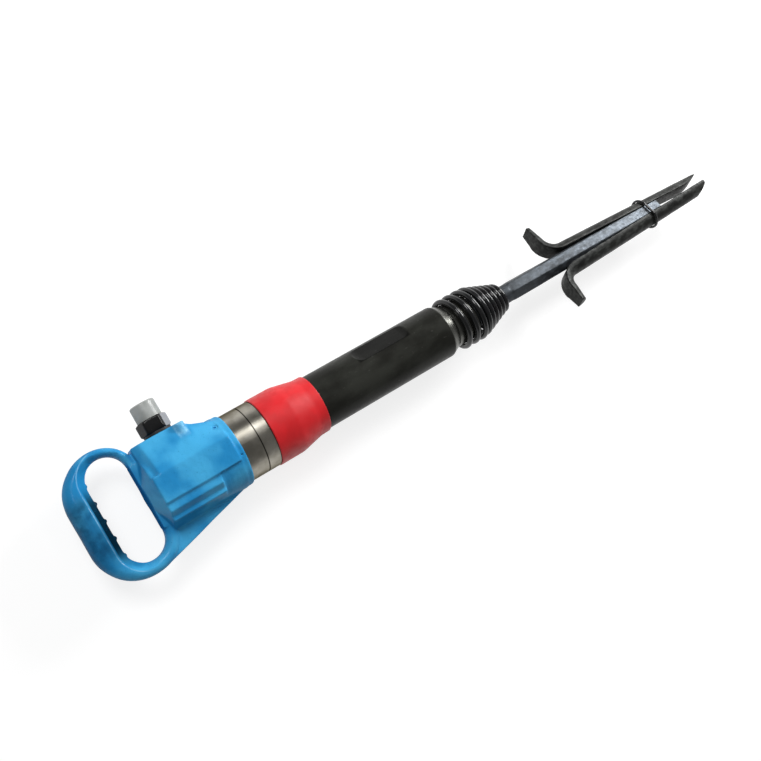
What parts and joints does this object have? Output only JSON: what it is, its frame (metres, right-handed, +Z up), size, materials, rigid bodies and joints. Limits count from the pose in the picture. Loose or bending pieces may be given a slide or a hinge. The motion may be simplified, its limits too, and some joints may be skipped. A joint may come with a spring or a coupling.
{
  "type": "pneumatic pick",
  "caption": "Hand-held pneumatic pick with a closed D handle, red exhaust sleeve and conical retaining spring, fitted with a rock-splitting wedge between feathers.",
  "frame": {"origin": "under the middle of the whole, on the plane that the handle's flat underside rests on", "axes": "+X along the tool's axis towards the wedge's tip, +Y towards the air inlet, +Z up, square to the D handle"},
  "size_m": [0.9292, 0.166, 0.089],
  "materials": {
    "blue_enamel": "gloss enamel on a steel casting",
    "turned_steel": "turned, bare",
    "black_phosphated_steel": "black phosphate, oiled",
    "spring_steel": "black oxide, semi-gloss",
    "forged_steel": "forged, dark scale",
    "red_rubber": "smooth moulded, semi-gloss",
    "sealing_rubber": "matt",
    "grey_plastic": "moulded, satin",
    "brass": "turned"
  },
  "bodies": {
    "pick": {"cylinder": "black_phosphated_steel", "snap_ring": "spring_steel", "connecting_sleeve": "turned_steel", "valve_cover": "turned_steel", "valve_chest": "turned_steel", "chest_gasket": "sealing_rubber", "locating_pins": "turned_steel", "tool_bush": "turned_steel", "exhaust_sleeve": "red_rubber", "retaining_spring": "spring_steel", "handle_spring": "spring_steel"},
    "handle": {"handle": "blue_enamel", "collar_seal_ring": "sealing_rubber", "lock_screws": "spring_steel", "throttle_bush": "brass", "throttle_spring": "spring_steel", "inlet_nipple": "black_phosphated_steel", "inlet_seal": "sealing_rubber", "inlet_strainer": "brass"},
    "throttle_valve": {"throttle_valve": "turned_steel"},
    "inlet_cap": {"inlet_cap": "grey_plastic"},
    "valve_plate": {"valve_plate": "turned_steel"},
    "hammer": {"hammer": "turned_steel"},
    "tool": {"splitting_wedge": "forged_steel"},
    "feather_upper": {"feather_upper": "forged_steel", "feather_ring": "spring_steel"},
    "feather_lower": {"feather_lower": "forged_steel"}
  },
  "joints": [
    {"name": "handle_press", "type": "slide", "parent": "pick", "child": "handle", "axis": [1, 0, 0], "range_m": [0, 0.008], "stiffness_N_per_m": 3000, "springref_m": -0.006, "deforming": ["handle_spring"]},
    {"name": "throttle_open", "type": "slide", "parent": "handle", "child": "throttle_valve", "axis": [-1, 0, 0], "range_m": [0, 0.008], "deforming": ["throttle_spring"]},
    {"name": "cap_pull", "type": "slide", "parent": "handle", "child": "inlet_cap", "axis": [0, 1, 0], "range_m": [0, 0.06]},
    {"name": "valve_flip", "type": "slide", "parent": "pick", "child": "valve_plate", "axis": [1, 0, 0], "range_m": [0, 0.002]},
    {"name": "hammer_stroke", "type": "slide", "parent": "pick", "child": "hammer", "axis": [1, 0, 0], "range_m": [-0.1, 0]},
    {"name": "tool_slide", "type": "slide", "parent": "pick", "child": "tool", "axis": [1, 0, 0], "range_m": [0, 0.01]},
    {"name": "feather_slide", "type": "slide", "parent": "tool", "child": "feather_upper", "axis": [0.9993, -0.0341, 0.0124], "range_m": [-0.055, 0.025], "deforming": ["feather_ring"]},
    {"name": "feather_spread", "type": "slide", "parent": "feather_upper", "child": "feather_lower", "axis": [0, 0.9397, -0.342], "range_m": [-0.004, 0.0019]}
  ],
  "couplings": [
    {"joint": "throttle_open", "follows": "handle_press", "ratio": 1},
    {"joint": "feather_spread", "follows": "feather_slide", "ratio": 0.072653}
  ]
}
